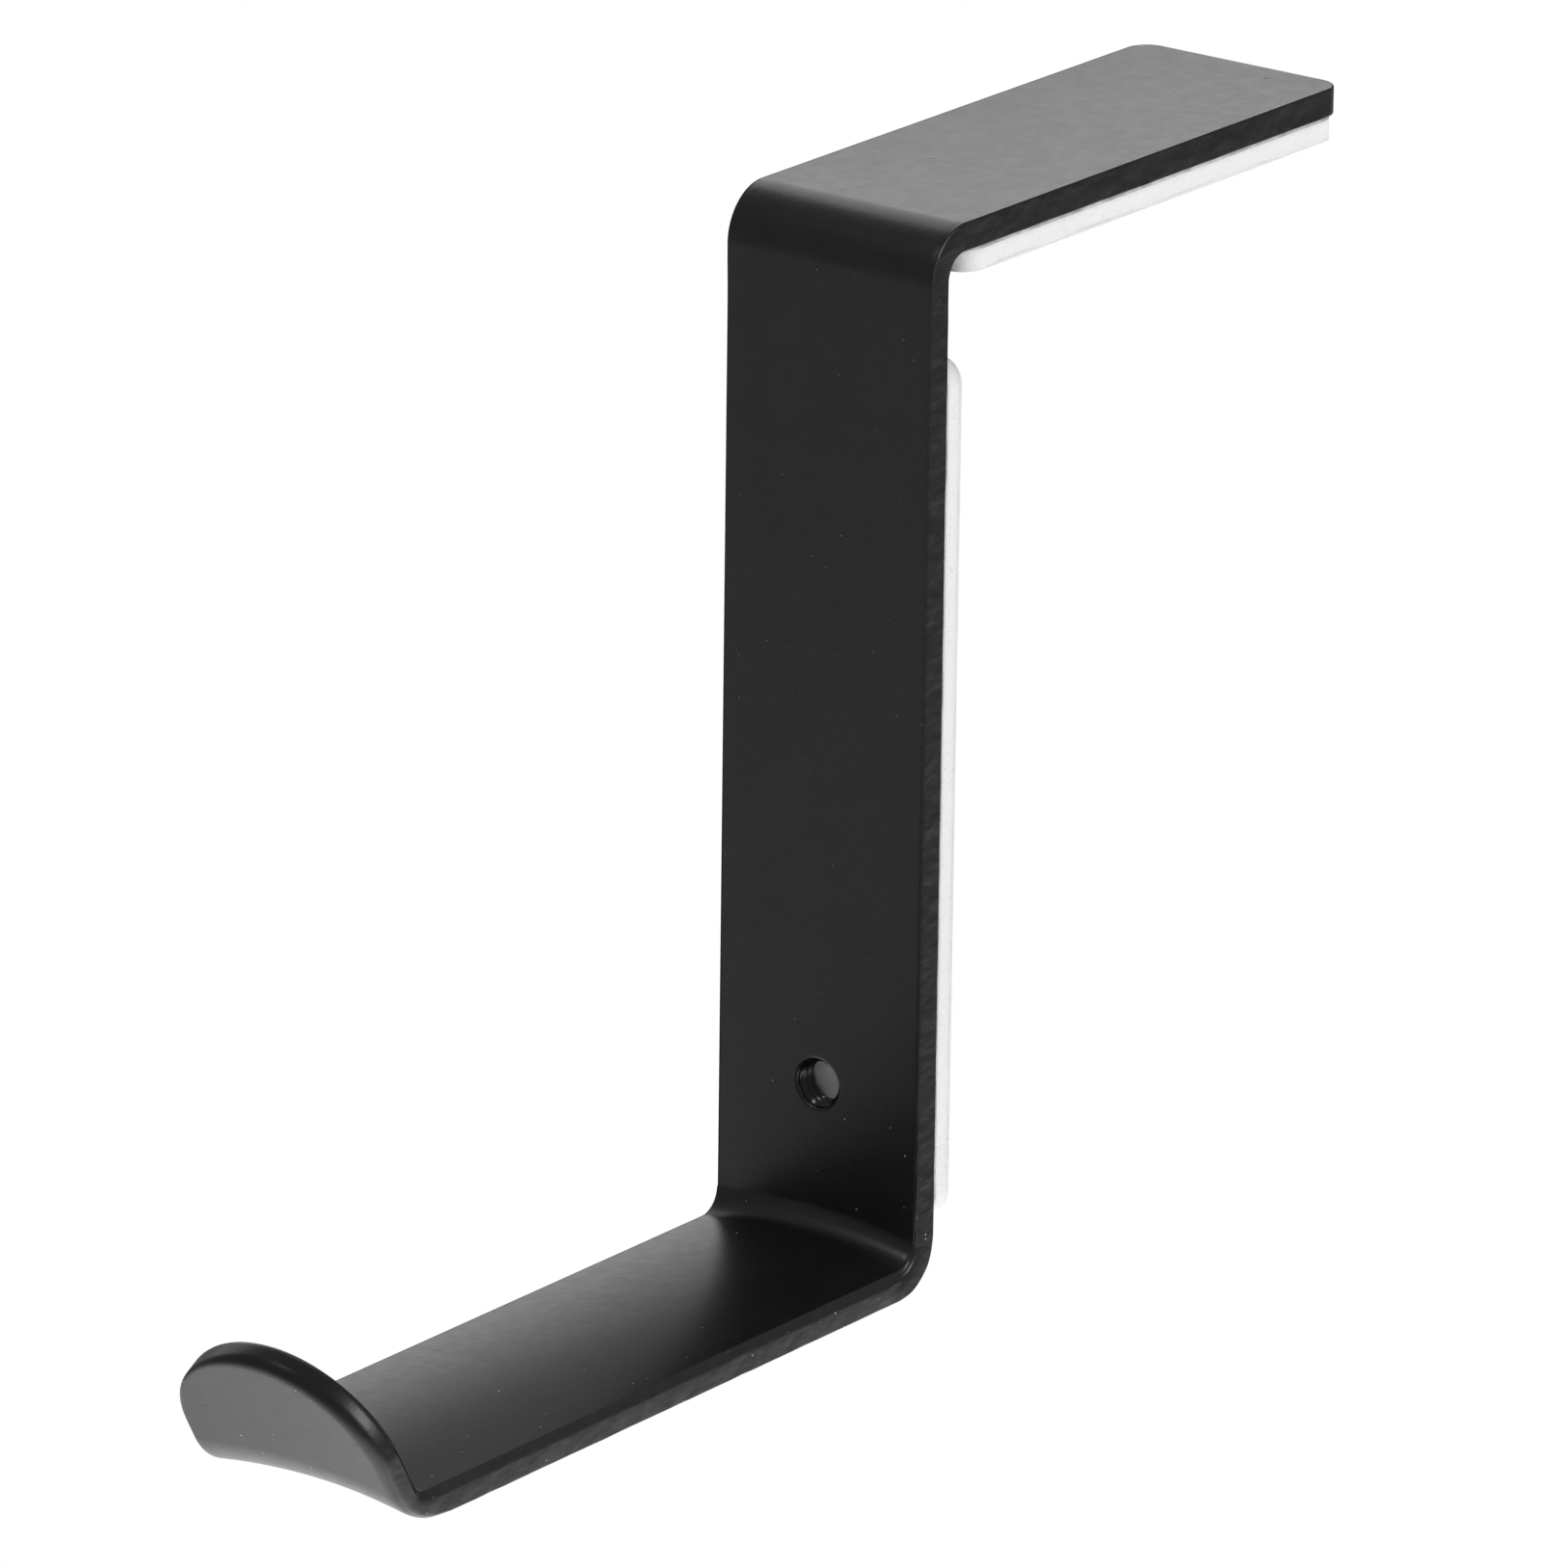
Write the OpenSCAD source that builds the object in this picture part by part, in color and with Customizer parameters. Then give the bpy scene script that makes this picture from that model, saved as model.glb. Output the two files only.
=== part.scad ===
// Headphone hook, bent from one flat steel bar, with two foam adhesive pads.
// The flange lies over a panel, the upright hangs down its front, and the arm carries the headband.
// Millimetres, +Z up, +Y from the hook towards the panel. The origin is the middle of the face that
// rests on the panel: the outer face of the liner on the top pad.

/* [Bar] */
// Width of the steel bar
bar_w = 25; // [18:0.5:29]
// Thickness of the steel bar
bar_t = 3; // [2:0.25:4]
// Inner radius of the bends at the two ends of the upright
bend_r = 2.5; // [1.5:0.25:4]

/* [Upright and flange] */
// Height of the hook, from the underside of the arm's edges to the top of the flange
hook_h = 110; // [90:1:150]
// Length of the flange, from the front of the upright to its end
flange_l = 70; // [50:1:100]
// Corner radius of the flange's free end
flange_corner_r = 2; // [0.5:0.25:5]

/* [Arm and lip] */
// Straight length of the arm, from the front of the upright to the lip's bend
arm_l = 76.5; // [50:0.5:110]
// Height of the arm's middle above its two edges
arm_crown = 1.3; // [0.5:0.1:2]
// Angle that the lip is bent up from the line of the arm
lip_angle = 60; // [45:1:80]
// Inner radius of the lip's bend
lip_bend_r = 4.5; // [3:0.25:7]
// Length of the lip along its slope, from its bend to the tip
lip_l = 13; // [10:0.5:18]
// Radius of the arc across the lip's tip
lip_tip_r = 14.75; // [14:0.25:25]
// Radius of the lip's two corners
lip_corner_r = 8; // [4:0.25:10]

/* [Threaded hole] */
// Height of the hole's centre above the underside of the arm's edges
hole_h = 19.5; // [16:0.5:40]
// Diameter of the hole inside its thread
hole_d = 4.2; // [2.5:0.1:6.8]
// Depth of the chamfer at each mouth of the hole
hole_chamfer = 0.4; // [0.2:0.05:0.7]

/* [Pads] */
// Thickness of a pad's foam
foam_t = 1.95; // [1:0.05:3]
// Thickness of the adhesive between the steel and the foam
inner_adhesive_t = 0.3; // [0.1:0.05:0.5]
// Thickness of the adhesive that grips the panel
outer_adhesive_t = 0.15; // [0.1:0.05:0.3]
// Thickness of the release liner
liner_t = 0.1; // [0.05:0.05:0.2]
// Corner radius of a pad
pad_corner_r = 2.5; // [1:0.25:5]
// Step from the bar's edge in to the pad's edge
pad_side_step = 0.1; // [0.1:0.1:2]
// Gap from the upper bend's end to the top pad
top_pad_bend_gap = 0.5; // [0.2:0.1:3]
// Gap from the lower bend's end to the back pad
back_pad_bend_gap = 0.2; // [0.2:0.1:3]
// Gap from the flange's free end to the top pad
pad_end_gap = 0.5; // [0.2:0.1:5]
// Free height from the back pad's upper end to the face of the top pad
pad_corner_gap = 8.5; // [2:0.5:30]

/* [Hidden] */
$fn = 96;
crown_fn = 720; // facets of the full circle that the arm's crown is part of
bite = 0.002; // depth that a face cuts into the round face it runs out of, so that they always meet
steel = [0.17, 0.17, 0.18];
foam_white = [0.95, 0.95, 0.94];
adhesive_grey = [0.76, 0.77, 0.75];
liner_white = [0.90, 0.91, 0.90];

// Side view: y = 0 is the upright's front and z = 0 the underside of the arm's edges.
outer_bend_r = bend_r + bar_t;
flange_under_z = hook_h - bar_t;
crown_r = (pow(bar_w / 2, 2) + pow(arm_crown, 2)) / (2 * arm_crown);
crown_axis_z = arm_crown - crown_r;
crown_half_angle = atan2(7, 24); // wider than the bar at every setting

// The lip's bend is centred on lip_bend_y, lip_bend_z in the middle of the bar.
lip_outer_r = lip_bend_r + bar_t;
lip_bend_y = -arm_l;
lip_bend_z = arm_crown + lip_outer_r;

// The crowned part and the flat part share a stretch of the upright above the lower bend.
flat_low_z = bar_t + bend_r + arm_crown + 1;
shared_h = 3;

// A pad's layers, counted from the steel outwards.
foam_from = inner_adhesive_t;
outer_adhesive_from = foam_from + foam_t;
liner_from = outer_adhesive_from + outer_adhesive_t;
pad_t = liner_from + liner_t;
pad_w = bar_w - 2 * pad_side_step;

top_pad_near_y = bar_t + bend_r + top_pad_bend_gap;
top_pad_far_y = flange_l - pad_end_gap;
top_pad_l = top_pad_far_y - top_pad_near_y;
panel_z = flange_under_z - pad_t;
back_pad_low_z = bar_t + bend_r + arm_crown + back_pad_bend_gap;
back_pad_l = panel_z - pad_corner_gap - back_pad_low_z;

// The row's origin in the side view.
origin_y = (top_pad_near_y + top_pad_far_y) / 2;
origin_z = panel_z;

// Moves what is drawn in the side view's frame to the row's frame.
module in_row_frame() {
    translate([0, -origin_y, -origin_z])
        children();
}

// A quarter of a ring whose centre is the origin, in the quadrant of +x and -y.
module quarter_ring(inner_r) {
    intersection() {
        difference() {
            circle(r = inner_r + bar_t);
            circle(r = inner_r);
        }
        translate([0, -2 * (inner_r + bar_t)])
            square(2 * (inner_r + bar_t));
    }
}

// Side view of the lip with its bend, centred on the bend. The lip's two flat faces cut into the
// round ones by the same bite, and the hidden ends of both shapes slant inside the other shape.
module lip_profile() {
    along = [-cos(lip_angle), sin(lip_angle)];
    out = [-sin(lip_angle), -cos(lip_angle)];
    reach = 2 * lip_outer_r;
    slant = 0.2 * along;
    inner = (lip_bend_r - bite) * out;
    outer = (lip_outer_r - bite) * out;
    intersection() {
        difference() {
            circle(r = lip_outer_r);
            circle(r = lip_bend_r);
        }
        polygon([[0, 0], [0, -reach], [-reach * tan(lip_angle / 2), -reach],
                 lip_bend_r * out + reach * (out + slant), lip_bend_r * out]);
    }
    polygon([inner - bar_t * slant, outer, outer + (lip_l + 1) * along,
             inner + (lip_l + 1) * along]);
}

// Side view of the arm with its two bends: x is the distance behind the upright's front,
// y the height over the arm's underside.
module arm_profile() {
    translate([-arm_l, 0])
        square([arm_l - bend_r, bar_t]);
    translate([-bend_r, bar_t + bend_r])
        quarter_ring(bend_r);
    translate([0, bar_t + bend_r])
        square([bar_t, 1 + shared_h]);
    translate([lip_bend_y, lip_outer_r])
        lip_profile();
}

// Side view of the upright above the lower bend, the upper bend and the flange.
module flange_profile() {
    upright_top_z = flange_under_z - bend_r;
    translate([0, flat_low_z])
        square([bar_t, upright_top_z - flat_low_z]);
    translate([outer_bend_r, upright_top_z])
        mirror([1, 0])
            mirror([0, 1])
                quarter_ring(bend_r);
    translate([outer_bend_r, flange_under_z])
        square([flange_l - outer_bend_r, bar_t]);
}

// The lip's outline in its own plane, from its bend's centre: a wide arc across the tip, run
// into the sides by two smaller ones. Its sides go on far enough to pass the whole hook.
module lip_outline() {
    tip_arc_y = lip_l - lip_tip_r;
    corner_x = bar_w / 2 - lip_corner_r;
    corner_y = tip_arc_y + sqrt(pow(lip_tip_r - lip_corner_r, 2) - pow(corner_x, 2));
    tail = 2 * (arm_l + hook_h);
    fan = lip_tip_r / (corner_y - tip_arc_y);
    translate([-bar_w / 2 - bite, corner_y - tail])
        square([bar_w + 2 * bite, tail]);
    for (side = [-1, 1])
        translate([side * corner_x, corner_y])
            circle(r = lip_corner_r + bite);
    translate([0, tip_arc_y])
        intersection() {
            circle(r = lip_tip_r);
            polygon([[0, 0], [fan * corner_x, lip_tip_r], [-fan * corner_x, lip_tip_r]]);
        }
}

// The flange's outline from above, with its free corners rounded.
module flange_outline() {
    corner_x = bar_w / 2 - flange_corner_r;
    corner_y = flange_l - flange_corner_r;
    translate([-bar_w / 2, -1])
        square([bar_w, corner_y + 1]);
    translate([-corner_x, 0])
        square([2 * corner_x, flange_l]);
    for (side = [-1, 1])
        translate([side * corner_x, corner_y])
            circle(r = flange_corner_r);
}

// Turns a side view round the crown's axis, so that the arm is arched across its width
// and the upright stays flat.
module crowned() {
    translate([0, 0, crown_axis_z])
        rotate([-90, 0, 0])
            rotate([0, 0, -90 - crown_half_angle])
                rotate_extrude(angle = 2 * crown_half_angle, $fn = crown_fn)
                    translate([crown_r, 0])
                        mirror([1, -1])
                            children();
}

module crowned_part() {
    intersection() {
        crowned()
            arm_profile();
        translate([0, lip_bend_y, lip_bend_z])
            rotate([180 - lip_angle, 0, 0])
                linear_extrude(height = 8 * (arm_l + hook_h), center = true)
                    lip_outline();
        translate([-bar_w / 2, -2 * arm_l, -bar_t])
            cube([bar_w, 3 * arm_l, hook_h]);
    }
}

module flat_part() {
    intersection() {
        rotate([90, 0, 90])
            linear_extrude(height = bar_w, center = true)
                flange_profile();
        linear_extrude(height = hook_h + 1)
            flange_outline();
    }
}

// The threaded hole, plain inside its thread, with a chamfer at each mouth.
module threaded_hole() {
    mouth_r = hole_d / 2 + hole_chamfer;
    translate([0, 0, hole_h])
        rotate([-90, 0, 0]) {
            translate([0, 0, -1])
                cylinder(d = hole_d, h = bar_t + 2);
            translate([0, 0, -mouth_r])
                cylinder(r1 = 2 * mouth_r, r2 = 0, h = 2 * mouth_r);
            translate([0, 0, bar_t - mouth_r])
                cylinder(r1 = 0, r2 = 2 * mouth_r, h = 2 * mouth_r);
        }
}

module bracket() {
    color(steel)
        in_row_frame()
            difference() {
                union() {
                    crowned_part();
                    flat_part();
                }
                threaded_hole();
            }
}

// A pad's outline, its length along y from 0.
module pad_outline(length) {
    corner_x = pad_w / 2 - pad_corner_r;
    translate([-pad_w / 2, pad_corner_r])
        square([pad_w, length - 2 * pad_corner_r]);
    translate([-corner_x, 0])
        square([2 * corner_x, length]);
    for (side = [-1, 1], end = [pad_corner_r, length - pad_corner_r])
        translate([side * corner_x, end])
            circle(r = pad_corner_r);
}

// One layer of the pad under the flange, from + thick measured down from the steel.
module top_layer(from, thick) {
    in_row_frame()
        translate([0, top_pad_near_y, flange_under_z - from - thick])
            linear_extrude(height = thick)
                pad_outline(top_pad_l);
}

// One layer of the pad behind the upright, from + thick measured back from the steel.
module back_layer(from, thick) {
    in_row_frame()
        translate([0, bar_t + from + thick, back_pad_low_z])
            rotate([90, 0, 0])
                linear_extrude(height = thick)
                    pad_outline(back_pad_l);
}

module top_inner_adhesive() { color(adhesive_grey) top_layer(0, inner_adhesive_t); }
module top_foam() { color(foam_white) top_layer(foam_from, foam_t); }
module top_outer_adhesive() { color(adhesive_grey) top_layer(outer_adhesive_from, outer_adhesive_t); }
module top_liner() { color(liner_white) top_layer(liner_from, liner_t); }

module back_inner_adhesive() { color(adhesive_grey) back_layer(0, inner_adhesive_t); }
module back_foam() { color(foam_white) back_layer(foam_from, foam_t); }
module back_outer_adhesive() { color(adhesive_grey) back_layer(outer_adhesive_from, outer_adhesive_t); }
module back_liner() { color(liner_white) back_layer(liner_from, liner_t); }

bracket();
top_inner_adhesive();
top_foam();
top_outer_adhesive();
top_liner();
back_inner_adhesive();
back_foam();
back_outer_adhesive();
back_liner();
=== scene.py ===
import math

import bmesh
import bpy
from mathutils import Matrix, Vector, noise


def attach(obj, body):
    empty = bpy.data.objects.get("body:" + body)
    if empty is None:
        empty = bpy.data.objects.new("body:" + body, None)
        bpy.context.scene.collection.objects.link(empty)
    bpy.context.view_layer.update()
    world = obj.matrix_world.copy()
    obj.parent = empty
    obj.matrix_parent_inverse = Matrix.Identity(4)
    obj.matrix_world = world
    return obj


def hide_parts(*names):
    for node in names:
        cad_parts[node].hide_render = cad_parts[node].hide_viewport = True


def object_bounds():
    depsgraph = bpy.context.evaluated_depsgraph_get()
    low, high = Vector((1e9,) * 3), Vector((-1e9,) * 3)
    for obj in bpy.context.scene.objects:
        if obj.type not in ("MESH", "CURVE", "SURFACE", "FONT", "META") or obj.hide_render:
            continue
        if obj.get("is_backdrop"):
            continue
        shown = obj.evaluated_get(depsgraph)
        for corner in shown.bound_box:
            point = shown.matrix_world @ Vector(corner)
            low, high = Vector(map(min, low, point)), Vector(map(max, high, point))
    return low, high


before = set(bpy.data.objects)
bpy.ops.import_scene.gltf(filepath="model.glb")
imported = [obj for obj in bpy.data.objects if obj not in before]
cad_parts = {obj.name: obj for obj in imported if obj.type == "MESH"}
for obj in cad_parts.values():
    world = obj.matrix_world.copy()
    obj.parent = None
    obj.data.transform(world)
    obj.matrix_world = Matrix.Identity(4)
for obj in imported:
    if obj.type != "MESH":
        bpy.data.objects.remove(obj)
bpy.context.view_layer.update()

# Headphone hook: one powder-coated steel bar, bent and tapped, with a foam tape pad under the
# flange and another behind the upright, each with its release liner.
# Shapes are worked out in millimetres, in the side view of the bar: x across the bar, y = 0 at
# the upright's front, z = 0 at the underside of the arm's edges. settle() brings them home.
MM = 0.001
HOME = Vector((0.0, 37.75, 104.5))  # the row's origin
SHARP_ANGLE, BRACKET_SHARP_ANGLE = math.radians(40), math.radians(38)   # steeper edges look sharp

# Bar
BAR_W = 25.0
BAR_T = 3.0
HALF_W = BAR_W / 2
HALF_T = BAR_T / 2
RIM_STEPS = 6
FLANGE_CORNER_R = 2.5
FLANGE_END = (70.0, 108.5)  # y and z where the bar's centre line starts
FLANGE_UNDERSIDE = FLANGE_END[1] - HALF_T
BEND_R = 4.0                # at the middle of the bar's thickness
LIP_BEND_R = 6.0
LIP_ANGLE = math.radians(60)
ARM_CROWN = 1.3
LEFT_CROWN_SHARE = 0.8
CROWN_R = (HALF_W ** 2 + ARM_CROWN ** 2) / (2 * ARM_CROWN)
LIP_L = 13.4
LIP_TIP_R = 12.9
LIP_CORNER_R = 11.0
LIP_SKEW = 0.04             # the tip is cut a little out of square

# The centre line from the flange's end to the lip's tip: length and curvature of each run.
QUARTER = BEND_R * math.pi / 2
LIP_ARC = LIP_BEND_R * LIP_ANGLE
RUNS = (
    (64.5, 0.0),
    (QUARTER, 1 / BEND_R),
    (97.7, 0.0),
    (QUARTER, -1 / BEND_R),
    (74.0, 0.0),
    (LIP_ARC, -1 / LIP_BEND_R),
    (LIP_L, 0.0),
)
UPRIGHT_START, LOW_BEND, ARM_START, LIP_START = (
    sum(length for length, _ in RUNS[:i]) for i in (2, 3, 4, 6))
BAR_L = LIP_START + LIP_L
LIP_FOLD_R = 1.6            # inside the lip's bend, where the press tool pinches the bar
LIP_SQUARED_OVER = 3.0      # from the lip's start, its outline is cut square to it within this
UPRIGHT_FALL = 0.12         # how far the upright's left edge is drawn back by shearing
FALL_FROM_X = 8.0           # it starts this far left of the middle
FALL_ZONE = (0, 6)          # from the upright's start
CROWN_FROM_Z, CROWN_FULL_Z = 15.0, 7.0  # the arch fades in down the upright between these

# Cuts across the flat bar, so that it can bend
BEND_STEPS = 24
STRAIGHT_STEP, LIP_STEP = 2.0, 1.0
TIP_UNCUT = 1.5
TIP_ARC_STEPS, FLANGE_CORNER_STEPS, PAD_CORNER_STEPS = 14, 10, 12
BAR_STRIPS = (1.4, 2.8, 4.2, 5.6, 7.0, 8.3, 9.5, 10.6, 11.3)

# Rims of the bar: how far they are rounded, and the zones where that changes
SHEARED_RIM_R = 0.2
FRONT_RIM_GAIN = 0.26       # on the front right rim, from the upper bend on
FRONT_RIM_ZONE = (62, 70)   # from the flange's end
BACK_RIM_WAVER = 0.1
ROLL_DEPTH = 1.08           # of the arm's rolled upper right edge
ROLL_WAVER, ROLL_FINE_WAVER = 0.14, 0.07
ROLL_FLAT = 0.7             # share of the roll that is a chamfer, the rest is round
ROLL_ZONE = (-4, 10)        # from the low bend
LIP_INNER_RIM_R, LIP_OUTER_RIM_R, LIP_OUTER_LEFT_RIM_R = 0.95, 1.25, 0.5
LIP_LEFT_X, LIP_RIGHT_X = -11.0, 1.0    # the lip's outer rim grows between these
INNER_DRESSING = (-4, 3)    # from the lip's start, on the face towards the headband
OUTER_DRESSING = (-9, -1)

# Tapped hole, M5
HOLE_Z = 19.5
THREAD_PITCH = 0.8
THREAD_PROFILE = (          # radius, and place along the hole
    (2.1, 0.0), (2.1, 0.16), (2.46, 0.4), (2.5, 0.46), (2.46, 0.52), (2.1, 0.76), (2.1, 0.8))
THREAD_STEPS = 48
THREAD_TURNS = 6
THREAD_OVERRUN = 0.35       # past each face of the bar
MOUTH_R = 2.92
MOUTH_ROUND = 0.42
MOUTH_CORE_R, MOUTH_CORE_FROM = 2.08, 0.72  # inside the thread, and from the bar's middle
MOUTH_OVERRUN = 0.6
HOLE_MASK_REACH = 5.0       # in front of the upright, for the finish inside the hole

# Pads, layers counted out from the steel
PAD_HALF_W = 12.4
PAD_CORNER_R = 2.5
TOP_PAD = (6.0, 69.5)       # y
BACK_PAD = (7.0, 96.0)      # z
PAD_STEP = 0.8
PAD_STRIPS = (3.2, 6.4, 9.4)
THICK_LAYER = 1.0           # a thicker layer is cut through its thickness too
WAVER_BAND = 1.5            # how far in from the edge its waver reaches
WAVERS = (
    # share, noise per millimetre across, along and through, and where the noise starts
    (0.65, (0.1, 0.16, 0.2), 0),
    (0.35, (0.5, 0.9, 0.8), 7),
)


# Mesh helpers

def new_object(name, data):
    made = bpy.data.objects.new(name, data)
    bpy.context.scene.collection.objects.link(made)
    return made


def whole(bm):
    return bm.verts[:] + bm.edges[:] + bm.faces[:]


def verts_in(geometry):
    return [g for g in geometry if isinstance(g, bmesh.types.BMVert)]


def arc(bm, vert, centre, degrees, steps):
    """Carries an outline on from vert round centre, and returns its new end."""
    turned = bmesh.ops.spin(bm, geom=[vert], cent=centre, axis=(0, 0, 1),
                            angle=math.radians(degrees), steps=steps)
    return verts_in(turned["geom_last"])[0]


def line(bm, vert, to):
    """Carries an outline on from vert in a straight line, and returns its new end."""
    end = bmesh.ops.extrude_vert_indiv(bm, verts=[vert])["verts"][0]
    end.co = to
    return end


def slab(bm, thick, rim_r, rim_steps):
    """Closes a half outline into a plate of that thickness with rounded rims."""
    bmesh.ops.mirror(bm, geom=bm.verts[:] + bm.edges[:], matrix=Matrix(), merge_dist=1e-4, axis="X")
    bmesh.ops.contextual_create(bm, geom=bm.edges[:])
    grown = bmesh.ops.extrude_face_region(bm, geom=bm.faces[:])["geom"]
    bmesh.ops.translate(bm, vec=(0, 0, thick), verts=verts_in(grown))
    rims = [e for e in bm.edges if abs(e.verts[0].co.z - e.verts[1].co.z) < 1e-6]
    bmesh.ops.bevel(bm, geom=rims, offset=rim_r, offset_type="OFFSET", segments=rim_steps,
                    profile=0.5, affect="EDGES", material=-1, clamp_overlap=True)


def cut(bm, axis, places):
    """Cuts a mesh into strips across one axis, so that it can bend there."""
    normal = [0, 0, 0]
    normal[axis] = 1
    for place in places:
        point = [0, 0, 0]
        point[axis] = place
        bmesh.ops.bisect_plane(bm, geom=whole(bm), dist=1e-5, plane_co=point, plane_no=normal)


def both_sides(places):
    return [0.0] + [side * place for place in places for side in (-1, 1)]


def spread(start, end, count):
    """The places that part a stretch into count equal steps."""
    return [start + (end - start) * i / count for i in range(1, count)]


def smooth_step(low, high, value):
    share = min(1.0, max(0.0, (value - low) / (high - low)))
    return share * share * (3 - 2 * share)


def settle(bm, name, material):
    """Makes the finished mesh an object, in metres and in its place in the row's frame."""
    bmesh.ops.remove_doubles(bm, verts=bm.verts[:], dist=1e-5)
    bmesh.ops.recalc_face_normals(bm, faces=bm.faces[:])
    home = Matrix.Scale(MM, 4) @ Matrix.Translation(-HOME)
    bmesh.ops.transform(bm, matrix=home, verts=bm.verts[:])
    for face in bm.faces:
        face.smooth = True
    mesh = bpy.data.meshes.new(name)
    bm.to_mesh(mesh)
    bm.free()
    mesh.set_sharp_from_angle(angle=SHARP_ANGLE)
    if material:
        mesh.materials.append(material)
    return new_object(name, mesh)


# Bracket

def centre_line(s):
    """Point and heading of the bar's centre line, s millimetres from the flange's end."""
    y, z = FLANGE_END
    heading = math.pi
    left = s
    for i, (length, curve) in enumerate(RUNS):
        step = left if i == len(RUNS) - 1 else min(left, length)
        if curve:
            turned = heading + curve * step
            y += (math.sin(turned) - math.sin(heading)) / curve
            z += (math.cos(heading) - math.cos(turned)) / curve
            heading = turned
        else:
            y += step * math.cos(heading)
            z += step * math.sin(heading)
        left -= step
        if left <= 0:
            break
    return y, z, heading


def bent(s, q):
    """Where a point of the bent bar is, s along its centre line and q out from it."""
    y, z, heading = centre_line(s)
    return y + q * math.sin(heading), z - q * math.cos(heading)


def crown_drop(x, z):
    """How far the arch lowers a point; the left half is pressed a little flatter than the right."""
    radius = CROWN_R + z - ARM_CROWN
    return (radius - math.sqrt(radius * radius - x * x)) * (LEFT_CROWN_SHARE if x < 0 else 1.0)


def lip_pinch(s):
    """How much thinner the bar is where the lip's bend is pinched to a small inside radius."""
    half = LIP_ANGLE / 2
    angle = abs((s - LIP_START) / LIP_ARC + 0.5) * LIP_ANGLE
    if angle > half:
        return 0.0
    inside = LIP_BEND_R - HALF_T
    off = inside - LIP_FOLD_R
    if angle > half - math.atan(off * math.tan(half) / inside):
        return inside / math.cos(half - angle) - inside
    fold_at = off / math.cos(half)
    chord = math.sqrt(LIP_FOLD_R ** 2 - (fold_at * math.sin(angle)) ** 2)
    return fold_at * math.cos(angle) + chord - inside


def fade_in(s, start, zone):
    """From 0 to 1 over a zone of the bar, which is given from the start of one of its runs."""
    return smooth_step(start + zone[0], start + zone[1], s)


def bar_point(flat):
    """Where a point of the flat blank is on the bent bar, with the arm arched across its width."""
    x, s, q = flat
    s += LIP_SKEW * x * smooth_step(0, LIP_L, s - LIP_START)
    q -= lip_pinch(s) * (q + HALF_T) / BAR_T
    y, z = bent(s, q)
    if s < UPRIGHT_START:
        return x, y, z
    if s < LOW_BEND:
        leftward = max(0.0, -x - FALL_FROM_X) / (HALF_W - FALL_FROM_X)
        y += UPRIGHT_FALL * fade_in(s, UPRIGHT_START, FALL_ZONE) * leftward ** 2 * (BAR_T - y) / BAR_T
    share = 1 - smooth_step(CROWN_FULL_Z, CROWN_FROM_Z, z) if s < ARM_START else 1.0
    drop = crown_drop(x, z) * share
    if s > LIP_START:
        # The lip's outline is cut square to the lip, so the arch doesn't shift it.
        s += drop * math.sin(LIP_ANGLE) * smooth_step(0, LIP_SQUARED_OVER, s - LIP_START)
        y, z = bent(s, q)
        drop = crown_drop(x, z)
    return x, y, z - drop


def wander(s, per_mm, seed):
    """A smooth wandering between -1 and 1 along the bar."""
    return noise.noise(Vector((s * per_mm, seed, 0.0)))


def rim_rounding(s, x, upper):
    """How far a rim of the bar is rounded inwards and through the thickness, s along the bar.

    Shearing leaves the arm's upper right edge rolled over, and the lip is dressed round on
    both faces, for the pads of a headband rest against it."""
    inwards = through = SHEARED_RIM_R
    if upper:
        lip, lip_r = fade_in(s, LIP_START, INNER_DRESSING), LIP_INNER_RIM_R
    else:
        lip = fade_in(s, LIP_START, OUTER_DRESSING)
        lip_r = LIP_OUTER_LEFT_RIM_R + (LIP_OUTER_RIM_R - LIP_OUTER_LEFT_RIM_R) * smooth_step(
            LIP_LEFT_X, LIP_RIGHT_X, x)
    if x > 0 and upper:
        inwards += FRONT_RIM_GAIN * fade_in(s, 0, FRONT_RIM_ZONE)
        roll = ROLL_DEPTH + ROLL_WAVER * wander(s, 0.33, 4.0) + ROLL_FINE_WAVER * wander(s, 1.1, 9.0)
        through = inwards + (roll - inwards) * arm_share(s)
    elif x > 0:
        inwards = through = SHEARED_RIM_R + BACK_RIM_WAVER * wander(s, 0.6, 2.0)
    return inwards + (lip_r - inwards) * lip, through + (lip_r - through) * lip


def arm_share(s):
    """From 0 to 1 as the arm comes in past the low bend, and back to 0 as the lip begins."""
    return fade_in(s, LOW_BEND, ROLL_ZONE) * (1 - fade_in(s, LIP_START, INNER_DRESSING))


def rim_place(ring, s, x):
    """Inset from the outline, and place through the bar's thickness, of one ring of its rim."""
    last = 2 * RIM_STEPS + 2
    upper = ring > RIM_STEPS
    in_r, up_r = rim_rounding(s, x, upper)
    if ring == RIM_STEPS + 1:
        # The middle ring lies halfway between the two rims.
        other = rim_rounding(s, x, False)[1]
        return 0.0, (other - up_r) / 2
    share = (last - ring if upper else ring) / RIM_STEPS
    turn = math.radians(90) * share
    # The rolled edge is nearly a flat chamfer, the others are round.
    flat = ROLL_FLAT * arm_share(s) if upper and x > 0 else 0.0
    inset = in_r * (1 - math.sin(turn) * (1 - flat) - share * flat)
    height = HALF_T - up_r * ((1 - math.cos(turn)) * (1 - flat) + share * flat)
    return inset, height if upper else -height


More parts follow.
